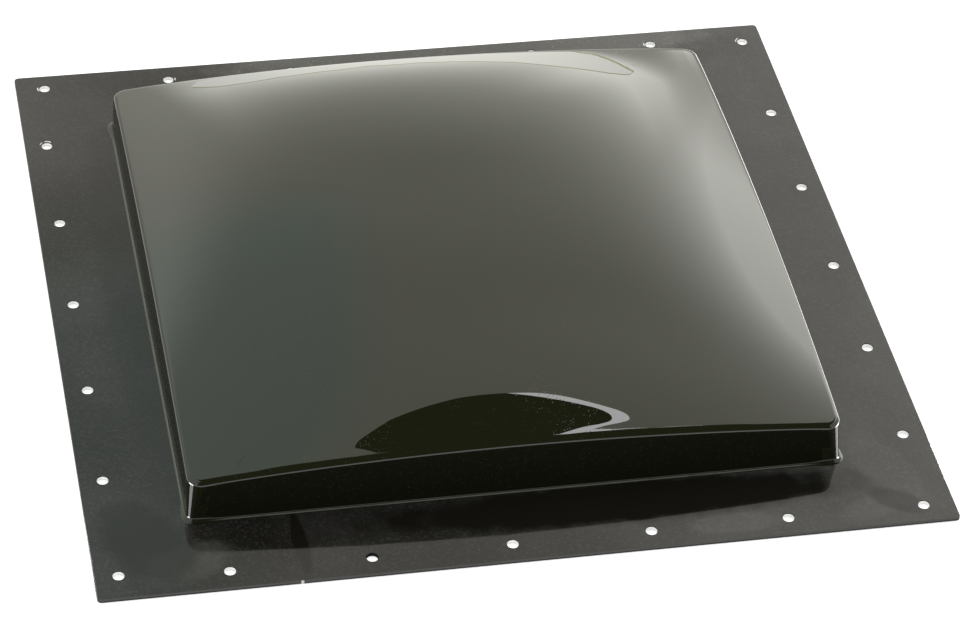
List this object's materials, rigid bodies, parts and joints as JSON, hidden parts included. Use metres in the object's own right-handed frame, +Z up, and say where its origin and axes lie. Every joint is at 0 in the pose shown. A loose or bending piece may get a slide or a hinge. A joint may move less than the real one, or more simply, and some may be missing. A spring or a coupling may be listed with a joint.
{
  "type": "roof skylight",
  "caption": "Square roof skylight formed from a dark smoke-tinted plastic sheet: a low pillow dome with upright walls on a flat flange drilled for screws, set over a roof opening.",
  "frame": {"origin": "centre of the flange's underside, on the dome's axis", "axes": "+Z up through the crown, X and Y along the flange's sides"},
  "size_m": [0.47, 0.47, 0.06],
  "materials": {
    "smoke_sheet": "glossy smoke-tinted polycarbonate, almost opaque"
  },
  "bodies": {
    "root": {"skylight_dome": "smoke_sheet"}
  },
  "joints": []
}
